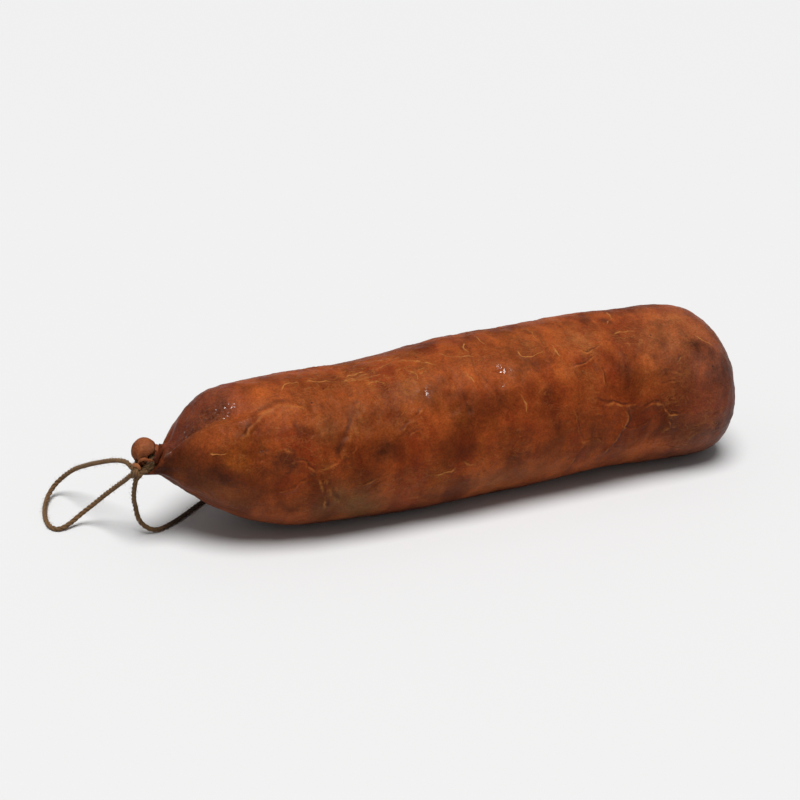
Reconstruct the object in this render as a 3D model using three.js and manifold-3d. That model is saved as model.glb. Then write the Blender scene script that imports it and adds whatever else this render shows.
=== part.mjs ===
// A smoked pork sausage in a natural casing, tied at one end with jute twine.
// Millimetres. +X runs along the sausage from the tied end to the round end, +Z is up,
// and it lies on the plane z = 0 on the flat that its own weight has pressed into it.
import {
  BufferAttribute, BufferGeometry, CatmullRomCurve3, ExtrudeGeometry, Group, MathUtils,
  Mesh, MeshStandardMaterial, Path, Shape, SphereGeometry, TorusGeometry, Vector3,
} from 'three';
import { mergeVertices } from 'three/addons/utils/BufferGeometryUtils.js';
import Module from 'manifold-3d';

const { cos, exp, hypot, max, min, PI, pow, round, sin, tan } = Math;
const radians = MathUtils.degToRad;

// Driving dimensions of the body.
const NECK_X = -124.25;           // the waist that the twine pulls in
const CAP_X = 131.2;              // the round end
const MIDDLE_X = -9;
const HALF_SPAN = 130;            // from the middle to either end of the bow and the taper
const BODY_RADIUS = 32;
const BULGE = { share: 0.04, x: 34, reach: 54 };   // the fattest stretch
const TAPER = 0.03;               // how much fatter the round end is than the middle
const SIDE_SPREAD = 1.02;         // wider than it is tall, from lying down
const SAG = 2;                    // how far the round is pressed flat underneath
const AXIS_Y = 5.5;
const BOW = 6.2;                  // sideways bow of the whole length
const CAP_SWING = 6.5;            // the round end turns forward over its last stretch
const CAP_SWING_LENGTH = 70;

// The round end: each rim's reach along X and how square its corner is.
const POLE_Z = 32;
const CAP_TOP = { length: 38.5, power: 2.6 };
const CAP_BOTTOM = { length: 27.5, power: 4.1 };
const CAP_SIDE = { length: 33, power: 3.1 };

// The tied end: neck, shoulder and the knob of casing beyond the twine.
const NECK_Z = 34.7;
const NECK_RADIUS = 2.6;
const NECK_TILT = 45;             // degrees the neck leans up and out
const TILT_REACH = 9.7;
const COLLAR = { start: 1.5, reach: 1.3, top: 8.8, side: 7.1, bottom: 5.4 };   // close beside the twine
const SHOULDER_START = 6.6;
const SHOULDER_TOP = { length: 9.9, power: 1.17 };
const SHOULDER_BOTTOM = { length: 24.2, power: 1.35 };
const KNOB = { start: 2.3, middle: 5.4, radius: 5, bend: 76 };   // degrees, up over the twine
const KNOB_LENGTH = KNOB.middle + KNOB.radius;
const KNOB_DENT = { depth: 3.2, halfWidth: 80, place: 4.2, reach: 2.6 };   // where it meets the twine

// The twine: two turns round the waist, with a knot at their lower outer edge.
const TWINE = 2;
const TIE_GAP = 0.5;              // between the casing and the twine round it
const TIE_PLACES = [-0.8, 0.55];  // of the two turns, along the sausage from the waist
const KNOT = new Vector3(-129.1, 2.1, 31.7);
const KNOT_RADIUS = 1.75;

// Mesh density.
const COLUMNS = 64;
const TWINE_SIDES = 8;
const TURN_STEPS = 24;
const TWINE_STEP = 4.6;           // along the loose twine

const smooth = (t) => MathUtils.smoothstep(t, 0, 1);
const clamp01 = (t) => MathUtils.clamp(t, 0, 1);
const mix = MathUtils.lerp;
const bell = (t) => exp(-t * t);
// A quarter of a rounded square: 0 at the end face, 1 where the body is full.
const corner = (t, power) => pow(1 - pow(1 - clamp01(t), power), 1 / power);
// Growth from the neck to the full body.
const shoulder = (distance, { length, power }) => 1 - exp(-pow(max(distance, 0) / length, power));

// Centre, half-width and half-height of the body's section at a place along X.
function bodySection(x) {
  const fromCap = CAP_X - x;
  const fromNeck = x - NECK_X - SHOULDER_START;
  const fromMiddle = (x - MIDDLE_X) / HALF_SPAN;
  const radius = BODY_RADIUS * (1 + BULGE.share * bell((x - BULGE.x) / BULGE.reach) + TAPER * fromMiddle);
  const collar = corner((x - NECK_X - COLLAR.start) / COLLAR.reach, 2);
  const growTop = shoulder(fromNeck, SHOULDER_TOP);
  const growBottom = shoulder(fromNeck, SHOULDER_BOTTOM);
  const capped = (edge, rim) => mix(POLE_Z, edge, corner(fromCap / rim.length, rim.power));
  const neckZ = NECK_Z - tan(radians(NECK_TILT)) * MathUtils.clamp(x - NECK_X, 0, COLLAR.start);
  const neckTop = neckZ + mix(NECK_RADIUS, COLLAR.top, collar);
  const neckBottom = neckZ - mix(NECK_RADIUS, COLLAR.bottom, collar);
  const neckSide = mix(NECK_RADIUS, COLLAR.side, collar);
  const top = mix(neckTop, capped(2 * radius - SAG, CAP_TOP), growTop);
  const bottom = mix(neckBottom, capped(-SAG, CAP_BOTTOM), growBottom);
  const full = radius * SIDE_SPREAD * corner(fromCap / CAP_SIDE.length, CAP_SIDE.power);
  const bow = BOW * (1 - fromMiddle * fromMiddle);
  const swing = CAP_SWING * (1 - smooth(fromCap / CAP_SWING_LENGTH));
  return {
    centre: new Vector3(x, AXIS_Y - bow - swing, (top + bottom) / 2),
    halfWidth: mix(neckSide, full, (growTop + growBottom) / 2),
    halfHeight: (top - bottom) / 2,
    tilt: radians(NECK_TILT) * exp(-max(x - NECK_X - COLLAR.start, 0) / TILT_REACH),
  };
}

// The same for the knob, where `beyond` is the distance past the waist: it bends up over the
// twine as far as its middle, and stands straight from there to its tip.
function knobSection(beyond) {
  const toTip = (beyond - KNOB.middle) / KNOB.radius;
  const fromNeck = (beyond - KNOB.start) / (KNOB.middle - KNOB.start);
  const ball = toTip > 0
    ? KNOB.radius * corner(1 - toTip, 2)
    : mix(NECK_RADIUS, KNOB.radius, corner(fromNeck, 2));
  const from = radians(NECK_TILT);
  const tilt = from + radians(KNOB.bend) * min(beyond / KNOB.middle, 1);
  const arc = KNOB.middle / radians(KNOB.bend);
  const ahead = max(beyond - KNOB.middle, 0);
  const back = arc * (sin(tilt) - sin(from)) + ahead * cos(tilt);
  const lift = arc * (cos(from) - cos(tilt)) + ahead * sin(tilt);
  const waist = bodySection(NECK_X).centre;
  return { centre: waist.add(new Vector3(-back, 0, lift)), halfWidth: ball, halfHeight: ball, tilt };
}

// A point of the smooth casing. `along` is the distance from the waist, negative on the knob,
// and `turn` is the angle round from the top towards +Y.
function smoothPoint(along, turn) {
  const section = along < 0 ? knobSection(-along) : bodySection(NECK_X + along);
  const rise = section.halfHeight * cos(turn);
  return section.centre.add(new Vector3(
    rise * sin(section.tilt),
    section.halfWidth * sin(turn),
    rise * cos(section.tilt),
  ));
}

function outwardNormal(along, turn) {
  const step = 0.02;
  const acrossFrom = smoothPoint(along - step, turn);
  const roundFrom = smoothPoint(along, turn - step);
  const across = smoothPoint(along + step, turn).sub(acrossFrom);
  const around = smoothPoint(along, turn + step).sub(roundFrom);
  return across.cross(around).normalize();
}

// Pleats that run from the tie up the shoulder: the angle in degrees, depth and length in mm.
const PLEAT_WIDTH = 16;           // degrees
const PLEATS = [
  { turn: -78, depth: 0.5, length: 22 },
  { turn: -112, depth: 0.8, length: 34 },
  { turn: -150, depth: 0.9, length: 40 },
  { turn: 172, depth: 0.7, length: 30 },
  { turn: 128, depth: 1.0, length: 38 },
  { turn: 88, depth: 0.8, length: 30 },
  { turn: 46, depth: 1.0, length: 34 },
  { turn: 8, depth: 0.6, length: 24 },
];

// The deep crease on the shoulder: the front lobe folds over the top lobe along this path.
// Every path here is a list of [mm along X, degrees round].
const LIP = {
  depth: 2,
  frontReach: 2.2,
  topReach: 7,
  fadeFrom: -100,
  fadeLength: 22,
  path: [[-117, -22], [-113, -27], [-108, -31], [-104, -30], [-98, -32], [-91, -32], [-82, -30]],
};

// The main folds of the casing, each a ridge with its height and half-width in mm.
const FOLDS = [
  { height: 0.9, reach: 2.2, path: [[-91, -55], [-86, -38], [-78, -30], [-67, -34], [-62, -40]] },
  { height: 1.1, reach: 2.4, path: [[-41, -32], [-46, -50], [-52, -67], [-60, -80], [-70, -76]] },
  { height: 0.8, reach: 2.2, path: [[-65, -86], [-64, -100], [-62, -120]] },
  { height: 0.6, reach: 2.0, path: [[-48, -98], [-42, -94], [-35, -90]] },
  { height: 0.6, reach: 2.0, path: [[48, -46], [56, -40], [66, -32]] },
  { height: 0.8, reach: 2.2, path: [[54, -68], [62, -74], [75, -76]] },
  { height: 0.9, reach: 2.2, path: [[45, -73], [47, -90], [50, -100], [60, -104]] },
  { height: 0.7, reach: 2.0, path: [[50, -100], [46, -115], [47, -128]] },
  { height: 0.9, reach: 2.2, path: [[69, -79], [67, -93], [61, -116]] },
  { height: 0.9, reach: 2.2, path: [[76, -82], [84, -80], [88, -89], [98, -90]] },
  { height: 0.7, reach: 2.0, path: [[100, -114], [106, -106], [115, -92]] },
];

// Loose skin on the knob: a fold round its foot, and the torn end over the twine's knot.
const FRILLS = [
  { height: 1, reach: 0.8, path: [[-127.4, -150], [-127.1, -115], [-127, -75]] },
  { height: 0.8, reach: 1.1, path: [[-130, -172], [-127.8, -160]] },
];

// The nearest place of a path, with the casing unrolled: how far off it is in mm, on which
// side, and what share of the path's points come before it.
function nearestOnPath(x, degrees, path, radius) {
  const mmPerDegree = radians(radius);
  let nearest = { distance: Infinity };
  for (let i = 1; i < path.length; i += 1) {
    const [startX, startTurn] = path[i - 1];
    const [endX, endTurn] = path[i];
    const runX = endX - startX;
    const runY = (endTurn - startTurn) * mmPerDegree;
    const offX = x - startX;
    const offY = (degrees - startTurn) * mmPerDegree;
    const share = clamp01((offX * runX + offY * runY) / (runX * runX + runY * runY));
    const distance = hypot(offX - share * runX, offY - share * runY);
    if (distance < nearest.distance) {
      const side = offY * runX - offX * runY;
      nearest = { distance, side, share: (i - 1 + share) / (path.length - 1) };
    }
  }
  return nearest;
}

const wrapDegrees = (degrees) => MathUtils.euclideanModulo(degrees + 180, 360) - 180;

function ridges(folds, x, degrees, radius) {
  let height = 0;
  for (const fold of folds) {
    const { distance, share } = nearestOnPath(x, degrees, fold.path, radius);
    const ends = smooth(0.3 + 5 * min(share, 1 - share));
    height += fold.height * ends * bell(distance / fold.reach);
  }
  return height;
}

function pleatDepth(along, degrees) {
  let sum = 0;
  for (const { turn, depth, length } of PLEATS) {
    const reach = along < 0 ? exp(along / 4) : bell(along / length);
    sum += depth * reach * bell(wrapDegrees(degrees - turn) / PLEAT_WIDTH);
  }
  return along < 0 ? sum / 2 : sum * mix(0.5, 1, smooth(along / 9));
}

function lipDepth(along, degrees, radius) {
  const x = NECK_X + along;
  const { distance, side } = nearestOnPath(x, degrees, LIP.path, radius);
  const reach = side > 0 ? LIP.topReach : LIP.frontReach;
  const run = smooth((along - 1) / 8) * (1 - smooth((x - LIP.fadeFrom) / LIP.fadeLength));
  return LIP.depth * run * bell(distance / reach);
}

// Uneven filling under the casing.
function lumps(x, turn) {
  const topWaves = 0.5 * cos(x / 11.5) * max(cos(turn), 0) * (1 - smooth((x + 10) / 40));
  const oblique = 0.35 * sin(x / 19 + 2 * turn + 0.6) + 0.25 * sin(x / 9 - 3 * turn + 2);
  return topWaves + oblique + 0.2 * sin(x / 31 + 5 * turn + 4);
}

// Height of the real casing over the smooth one.
function relief(along, turn) {
  const x = NECK_X + along;
  const degrees = wrapDegrees(MathUtils.radToDeg(turn));
  if (along < 0) {
    const dent = bell(degrees / KNOB_DENT.halfWidth) * bell((-along - KNOB_DENT.place) / KNOB_DENT.reach);
    return ridges(FRILLS, x, degrees, KNOB.radius) - pleatDepth(along, degrees) - KNOB_DENT.depth * dent;
  }
  const radius = bodySection(x).halfWidth;
  const fade = smooth((along - 4) / 30) * smooth((CAP_X - x) / 14);
  const raised = lumps(x, turn) * fade + ridges(FOLDS, x, degrees, radius);
  return raised - pleatDepth(along, degrees) - lipDepth(along, degrees, radius);
}

// Places of the mesh's rings, closer together where the casing turns or folds.
function ringPlaces() {
  const places = [];
  const stretch = (from, to, count, ease) => {
    for (let i = 0; i < count; i += 1) {
      places.push(mix(from, to, ease(i / count)));
    }
  };
  const even = (t) => t;
  const slowStart = (t) => t * (0.6 + 0.4 * t);
  const outOfPole = (t) => 1 - cos(t * PI / 2);
  const intoPole = (t) => sin(t * PI / 2);
  const length = CAP_X - NECK_X;
  const collarEnd = COLLAR.start + COLLAR.reach;
  const shoulderEnd = 70;
  stretch(-KNOB_LENGTH, -KNOB.middle, 5, outOfPole);
  stretch(-KNOB.middle, -KNOB.start, 5, intoPole);
  stretch(-KNOB.start, COLLAR.start, 3, even);
  stretch(COLLAR.start, collarEnd, 3, outOfPole);
  stretch(collarEnd, shoulderEnd, 26, slowStart);
  stretch(shoulderEnd, length - CAP_TOP.length, 32, even);
  stretch(length - CAP_TOP.length, length, 14, intoPole);
  places.push(length);
  return places;
}

// A sphere's grid laid over the casing, ring by ring from the knob's tip to the round end.
function casingGeometry() {
  const places = ringPlaces();
  const rings = places.length - 1;
  const geometry = new SphereGeometry(1, COLUMNS, rings);
  const { position, uv } = geometry.attributes;
  for (let i = 0; i < position.count; i += 1) {
    const ring = round((1 - uv.getY(i)) * rings);
    const atPole = ring === 0 || ring === rings;
    const column = atPole ? 0 : round(uv.getX(i) * COLUMNS) % COLUMNS;
    const turn = 2 * PI * column / COLUMNS;
    const along = places[ring];
    const point = smoothPoint(along, turn);
    if (!atPole) {
      point.addScaledVector(outwardNormal(along, turn), relief(along, turn));
    }
    position.setXYZ(i, point.x, point.y, max(point.z, 0));
  }
  return closed(geometry);
}

// Only positions are left, and shared corners are one vertex.
function closed(geometry) {
  geometry.deleteAttribute('normal');
  geometry.deleteAttribute('uv');
  return mergeVertices(geometry);
}

const wasm = await Module();
wasm.setup();

function joined(geometries) {
  const solids = geometries.map((geometry) => new wasm.Manifold(new wasm.Mesh({
    numProp: 3,
    vertProperties: new Float32Array(geometry.attributes.position.array),
    triVerts: new Uint32Array(geometry.index.array),
  })));
  const mesh = solids.reduce((sum, solid) => sum.add(solid)).getMesh();
  const geometry = new BufferGeometry();
  geometry.setAttribute('position', new BufferAttribute(mesh.vertProperties, 3));
  geometry.setIndex(new BufferAttribute(mesh.triVerts, 1));
  return geometry;
}

// A tube of twine on a smooth route through the given points.
function twineTube(points) {
  const route = new CatmullRomCurve3(points.map((point) => new Vector3(...point)), false, 'centripetal');
  const steps = round(route.getLength() / TWINE_STEP);
  const circle = new Path().absarc(0, 0, TWINE / 2, 0, 2 * PI).getPoints(TWINE_SIDES / 2);
  const section = new Shape(circle.slice(0, -1));
  return closed(new ExtrudeGeometry(section, { steps, extrudePath: route, bevelEnabled: false }));
}

// One turn of twine round the waist, square to the casing there.
function tieTurn(along) {
  const section = along < 0 ? knobSection(-along) : bodySection(NECK_X + along);
  const radius = NECK_RADIUS + TIE_GAP + TWINE / 2;
  const ring = new TorusGeometry(radius, TWINE / 2, TWINE_SIDES, TURN_STEPS);
  ring.rotateY(PI / 2 + section.tilt);
  ring.translate(...section.centre);
  return closed(ring);
}

// The knot: a ball of crossed strands in a turn of twine.
function knotGeometry() {
  const core = new SphereGeometry(KNOT_RADIUS, 12, 8);
  const wrap = new TorusGeometry(KNOT_RADIUS, TWINE / 2, TWINE_SIDES, 16);
  wrap.rotateX(radians(60));
  wrap.rotateZ(radians(25));
  for (const piece of [core, wrap]) {
    piece.translate(...KNOT);
  }
  return [closed(core), closed(wrap)];
}

// The loose twine's routes. The loop leaves the knot, lies on the table at its far end and
// comes back. The tail hangs down, then lies under and behind the sausage.
const LOOP_ROUTE = [
  [-130.1, 5.5, 32.6], [-130.8, 9, 33.1], [-131.8, 12.1, 32.6], [-133, 16, 31.3], [-134.6, 21, 29.2],
  [-137.2, 27.8, 25.8], [-140, 37.8, 20.5], [-143.3, 47.7, 14.5], [-146.9, 53.7, 8.8],
  [-150, 55.2, 5.2], [-153.5, 52.6, 2.6], [-156.4, 47, 1.4], [-158.5, 40, 1], [-159.5, 33.2, 1],
  [-159.1, 27.8, 1], [-157.3, 24.9, 1], [-154.7, 24.6, 1.3], [-151.1, 25.6, 2.4], [-146.7, 26.2, 5],
  [-141.8, 23.4, 10], [-137.7, 18, 16.4], [-134.3, 11.4, 22.8], [-132.3, 6.4, 27.3],
  [-131.6, 2.9, 30.3],
];
const TAIL_ROUTE = [
  [-129.4, 2.9, 27.9], [-129.8, 3.8, 24.6], [-129.8, 5.6, 20.5], [-129.4, 7.4, 16.4], [-128.6, 8.9, 13.2],
  [-128.1, 9.2, 9.6], [-127.2, 8.9, 6.4], [-125.3, 8.5, 3.8], [-123, 8.1, 2.1], [-119.9, 8.3, 1.2],
  [-116.3, 9.8, 1], [-112, 12.3, 1], [-107, 15.8, 1], [-102.5, 19.3, 1], [-97, 23.6, 1],
  [-90.5, 28, 1], [-83, 32, 1], [-75, 35.5, 1], [-67.5, 38.5, 1],
];

function piece(name, geometry, color, roughness) {
  const material = new MeshStandardMaterial({ color, roughness, metalness: 0 });
  const mesh = new Mesh(geometry, material);
  mesh.name = name;
  return mesh;
}

const CASING_COLOUR = '#8a3f1d';
const TWINE_COLOUR = '#76654a';
const CASING_ROUGHNESS = 0.45;
const TWINE_ROUGHNESS = 0.95;

const sausage = new Group();
sausage.add(piece('sausage', casingGeometry(), CASING_COLOUR, CASING_ROUGHNESS));
for (const [name, geometry] of [
  ['twine_tie', joined([...TIE_PLACES.map(tieTurn), ...knotGeometry()])],
  ['twine_loop', twineTube(LOOP_ROUTE)],
  ['twine_tail', twineTube(TAIL_ROUTE)],
]) {
  sausage.add(piece(name, geometry, TWINE_COLOUR, TWINE_ROUGHNESS));
}

export default sausage;
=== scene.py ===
"""A smoked pork sausage in a natural casing, tied at one end with jute twine, on a pale table.

The casing's form repeats the frame's own rule: a smooth body, and relief along its normals.
Sizes here are in millimetres, and every mesh is written in metres.
"""

import math

import bmesh
import bpy
import numpy as np
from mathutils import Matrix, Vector, noise


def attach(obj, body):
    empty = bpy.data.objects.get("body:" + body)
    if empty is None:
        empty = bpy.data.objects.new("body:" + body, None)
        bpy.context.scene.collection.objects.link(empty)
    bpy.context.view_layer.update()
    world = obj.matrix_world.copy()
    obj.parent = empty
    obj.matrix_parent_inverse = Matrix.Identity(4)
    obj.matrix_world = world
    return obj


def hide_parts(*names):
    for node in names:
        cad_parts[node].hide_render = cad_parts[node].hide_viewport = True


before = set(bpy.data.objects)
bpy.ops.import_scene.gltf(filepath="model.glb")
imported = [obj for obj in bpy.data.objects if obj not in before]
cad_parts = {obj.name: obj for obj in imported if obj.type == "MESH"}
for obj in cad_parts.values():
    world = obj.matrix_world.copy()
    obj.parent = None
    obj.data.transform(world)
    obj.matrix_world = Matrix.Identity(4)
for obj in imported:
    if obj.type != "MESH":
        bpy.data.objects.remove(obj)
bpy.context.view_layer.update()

MM = 0.001

# Camera: the photograph's viewing angle.
CAMERA_TARGET = Vector((-9, 20.9, 33))
CAMERA_AZIMUTH = -23              # degrees, from straight along +Y
CAMERA_ELEVATION = 25
CAMERA_DISTANCE = 850
CAMERA_LENS = 91.07
SENSOR = 36

# The body of the sausage.
NECK_X = -124.25                  # the waist that the twine pulls in
CAP_X = 131.2                     # the round end
MIDDLE_X = -9.0
HALF_SPAN = 130.0
BODY_RADIUS = 32.0
BULGE_SHARE, BULGE_X, BULGE_REACH = 0.04, 34.0, 54.0
TAPER = 0.03
SIDE_SPREAD = 1.02
SAG = 2.0
AXIS_Y = 5.5
BOW = 6.2
CAP_SWING, CAP_SWING_LENGTH = 6.5, 70.0
POLE_Z = 32.0
CAP_TOP = (38.5, 2.6)             # reach along X, squareness of the corner
CAP_BOTTOM = (27.5, 4.1)
CAP_SIDE = (33.0, 3.1)

# The tied end.
NECK_Z = 34.7
NECK_RADIUS = 2.6
NECK_TILT = math.radians(45)
TILT_REACH = 9.7
COLLAR_START, COLLAR_REACH = 1.5, 1.3      # the casing bulges close beside the twine
COLLAR_TOP, COLLAR_SIDE, COLLAR_BOTTOM = 8.8, 7.1, 5.4
SHOULDER_START = 6.6
SHOULDER_TOP = (9.9, 1.17)
SHOULDER_BOTTOM = (24.2, 1.35)
KNOB_START, KNOB_MIDDLE, KNOB_RADIUS = 2.3, 5.4, 5.0
KNOB_LENGTH = KNOB_MIDDLE + KNOB_RADIUS
KNOB_BEND = math.radians(76)
DENT_DEPTH, DENT_WIDTH, DENT_PLACE, DENT_REACH = 3.2, 80.0, 4.2, 2.6   # where it meets the twine
GATHERS, GATHER_DEPTH = 9, 0.30   # small pleats round the knob's root
HOLLOW_DEPTH, HOLLOW_TURN, HOLLOW_WIDTH, HOLLOW_PLACE, HOLLOW_REACH = 0.9, -24, 22, 8.2, 1.4

# Twine.
TWINE = 2.0
PLIES = 3
PLY_RADIUS, LAY_RADIUS, LAY_PITCH = 0.27, 0.25, 3.4      # shares of the twine's diameter
FIBRE_LENGTH, FIBRE_RADIUS, FIBRES_PER_M2 = 1.5, 0.03, 0.7e6
COIL_RADIUS, COIL_TURNS, COIL_PITCH = 3.9, 2.1, 1.6      # the twine round the waist
KNOT = np.array([-129.1, 2.1, 31.7])
KNOT_RADIUS, KNOT_TURNS, KNOT_PITCH = 1.5, 1.7, 1.6

LOOP_ROUTE = [
    (-130.1, 5.5, 32.6), (-130.8, 9, 33.1), (-131.8, 12.1, 32.6), (-133, 16, 31.3), (-134.6, 21, 29.2),
    (-137.2, 27.8, 25.8), (-140, 37.8, 20.5), (-143.3, 47.7, 14.5), (-146.9, 53.7, 8.8),
    (-150, 55.2, 5.2), (-153.5, 52.6, 2.6), (-156.4, 47, 1.4), (-158.5, 40, 1), (-159.5, 33.2, 1),
    (-159.1, 27.8, 1), (-157.3, 24.9, 1), (-154.7, 24.6, 1.3), (-151.1, 25.6, 2.4), (-146.7, 26.2, 5),
    (-141.8, 23.4, 10), (-137.7, 18, 16.4), (-134.3, 11.4, 22.8), (-132.3, 6.4, 27.3),
    (-131.6, 2.9, 30.3),
]
TAIL_ROUTE = [
    (-129.4, 2.9, 27.9), (-129.8, 3.8, 24.6), (-129.8, 5.6, 20.5), (-129.4, 7.4, 16.4), (-128.6, 8.9, 13.2),
    (-128.1, 9.2, 9.6), (-127.2, 8.9, 6.4), (-125.3, 8.5, 3.8), (-123, 8.1, 2.1), (-119.9, 8.3, 1.2),
    (-116.3, 9.8, 1), (-112, 12.3, 1), (-107, 15.8, 1), (-102.5, 19.3, 1), (-97, 23.6, 1),
    (-90.5, 28, 1), (-83, 32, 1), (-75, 35.5, 1), (-67.5, 38.5, 1),
]


# ---------------------------------------------------------------------------
# Small helpers
# ---------------------------------------------------------------------------

def smooth(t):
    t = np.clip(t, 0, 1)
    return t * t * (3 - 2 * t)


def mix(a, b, share):
    return a + (b - a) * share


def bell(t):
    return np.exp(-t * t)


def corner(t, power):
    """A quarter of a rounded square: 0 at the end face, 1 where the body is full."""
    return (1 - (1 - np.clip(t, 0, 1)) ** power) ** (1 / power)


def shoulder(distance, size):
    length, power = size
    return 1 - np.exp(-(np.maximum(distance, 0) / length) ** power)


def spline(points, step):
    """Places every `step` or so along the centripetal Catmull-Rom curve through the points."""
    points = np.asarray(points, float)
    first, last = 2 * points[0] - points[1], 2 * points[-1] - points[-2]
    points = np.vstack([first, points, last])
    out = []
    for before, start, end, after in zip(points, points[1:], points[2:], points[3:]):
        gaps = [np.linalg.norm(b - a) ** 0.5 for a, b in ((before, start), (start, end), (end, after))]
        run_in, run, run_out = gaps
        leave = (start - before) / run_in - (end - before) / (run_in + run) + (end - start) / run
        arrive = (end - start) / run - (after - start) / (run + run_out) + (after - end) / run_out
        leave, arrive = leave * run, arrive * run
        count = max(2, round(np.linalg.norm(end - start) / step))
        t = np.arange(count)[:, None] / count
        cubic = 2 * start - 2 * end + leave + arrive
        square = 3 * (end - start) - 2 * leave - arrive
        out.append(start + t * (leave + t * (square + t * cubic)))
    out.append(points[-2:-1])
    return np.vstack(out)


def unit(vectors):
    return vectors / np.maximum(np.linalg.norm(vectors, axis=-1, keepdims=True), 1e-9)


def direction(azimuth, elevation):
    """Unit vector at these angles in degrees; azimuth 0 is the side that faces -Y."""
    turn, lift = math.radians(azimuth), math.radians(elevation)
    return Vector((math.sin(turn) * math.cos(lift), -math.cos(turn) * math.cos(lift), math.sin(lift)))


def new_object(name, data):
    made = bpy.data.objects.new(name, data)
    bpy.context.scene.collection.objects.link(made)
    return made


def mesh_object(name, points, faces, material):
    """A smooth mesh from points in mm."""
    mesh = bpy.data.meshes.new(name)
    mesh.from_pydata((np.asarray(points) * MM).tolist(), [], faces)
    mesh.shade_smooth()
    mesh.materials.append(material)
    mesh.update()
    return new_object(name, mesh)


def tube_faces(rows, columns):
    """Faces of a closed tube of rings, whose last two points are its poles."""
    index = np.arange(rows * columns).reshape(rows, columns)
    beside = np.roll(index, -1, axis=1)
    faces = np.stack([index[:-1], beside[:-1], beside[1:], index[1:]], axis=-1).reshape(-1, 4).tolist()
    first, last = rows * columns, rows * columns + 1
    faces += [(first, b, a) for a, b in zip(index[0].tolist(), beside[0].tolist())]
    faces += [(last, a, b) for a, b in zip(index[-1].tolist(), beside[-1].tolist())]
    return faces


def set_field(piece, name, values):
    """A number for each vertex, which the material reads by name."""
    layer = piece.data.attributes.new(name, "FLOAT", "POINT")
    layer.data.foreach_set("value", np.asarray(values, np.float32))


def outward(mesh):
    """Turn the faces of a closed mesh outwards."""
    shape = bmesh.new()
    shape.from_mesh(mesh)
    bmesh.ops.recalc_face_normals(shape, faces=shape.faces)
    shape.to_mesh(mesh)
    shape.free()


# ---------------------------------------------------------------------------
# Node trees
# ---------------------------------------------------------------------------

class Tree:
    """Short ways to add the nodes of one tree."""

    def __init__(self, group):
        self.group = group

    def add(self, kind, inputs=(), **settings):
        node = self.group.nodes.new(kind)
        for name, value in settings.items():
            setattr(node, name, value)
        for key, value in dict(inputs).items():
            if isinstance(value, bpy.types.NodeSocket):
                self.link(value, node, key)
            else:
                node.inputs[key].default_value = value
        return node

    def out(self, kind, inputs=(), **settings):
        """The first output of a new node."""
        return self.add(kind, inputs, **settings).outputs[0]

    def link(self, value, node, key):
        self.group.links.new(value, node.inputs[key])

    def math(self, operation, *values):
        return self.out("ShaderNodeMath", dict(enumerate(values)), operation=operation)

    def times(self, a, b):
        return self.math("MULTIPLY", a, b)

    def plus(self, a, b):
        return self.math("ADD", a, b)

    def vector(self, operation, *values):
        return self.out("ShaderNodeVectorMath", dict(enumerate(values)), operation=operation)

    def rise(self, value, low, high, to_low=0.0, to_high=1.0):
        """A smooth step of the value from one level to another."""
        inputs = {"Value": value, "From Min": low, "From Max": high, "To Min": to_low, "To Max": to_high}
        return self.out("ShaderNodeMapRange", inputs, interpolation_type="SMOOTHSTEP")

    def blend(self, share, a, b, kind="MIX"):
        inputs = {"Factor": share, 6: a, 7: b}
        node = self.add("ShaderNodeMix", inputs, data_type="RGBA", blend_type=kind)
        return node.outputs[2]

    def stretched(self, place, scale):
        return self.vector("MULTIPLY", place, scale)

    def noise(self, place, size, detail=2.0, rough=0.5, distortion=0.0):
        """Noise with features of about this size in mm."""
        inputs = {"Vector": place, "Scale": 1 / (size * MM), "Detail": detail,
                  "Roughness": rough, "Distortion": distortion}
        return self.add("ShaderNodeTexNoise", inputs).outputs["Fac"]

    def attribute(self, name):
        return self.add("ShaderNodeAttribute", attribute_name=name).outputs["Fac"]

    def place(self):
        return self.add("ShaderNodeTexCoord").outputs["Object"]

    def bump(self, shader, height, depth, strength=1.0):
        """Relief from a height of 0 to 1, this many mm deep."""
        node = self.add("ShaderNodeBump", {"Strength": strength, "Distance": depth * MM, "Height": height})
        self.link(node.outputs[0], shader, "Normal")


def colour(red, green, blue):
    return (red, green, blue, 1.0)


def new_material(name, **finish):
    """A material with a Principled shader; the finish is set on the shader's own sockets."""
    material = bpy.data.materials.new(name)
    material.use_nodes = True
    tree = Tree(material.node_tree)
    shader = material.node_tree.nodes["Principled BSDF"]
    for socket, value in finish.items():
        shader.inputs[socket.replace("_", " ")].default_value = value
    return material, tree, shader


# Casing colours.
TAN = colour(0.245, 0.053, 0.0105)
RED_BROWN = colour(0.125, 0.019, 0.0045)
DARK_BROWN = colour(0.046, 0.011, 0.005)
AMBER = colour(0.26, 0.062, 0.009)
PALE_FAT = colour(0.200, 0.084, 0.028)
PURPLE_BROWN = colour(0.125, 0.029, 0.016)
NECK_BROWN = colour(0.050, 0.012, 0.006)
KNOB_BROWN = colour(0.155, 0.053, 0.024)
CAP_BROWN = colour(0.084, 0.037, 0.028)
# painted highlight, for lit facets and sheen
FACET_HIGHLIGHT = colour(0.32, 0.105, 0.030)
EMBER = colour(0.132, 0.0185, 0.004)
# painted highlight, for the crests of creases and wrinkles
CREST_HIGHLIGHT = colour(0.38, 0.140, 0.035)
# painted shade, for the underside
UNDERSIDE_SHADE = colour(0.112, 0.033, 0.016)


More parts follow.
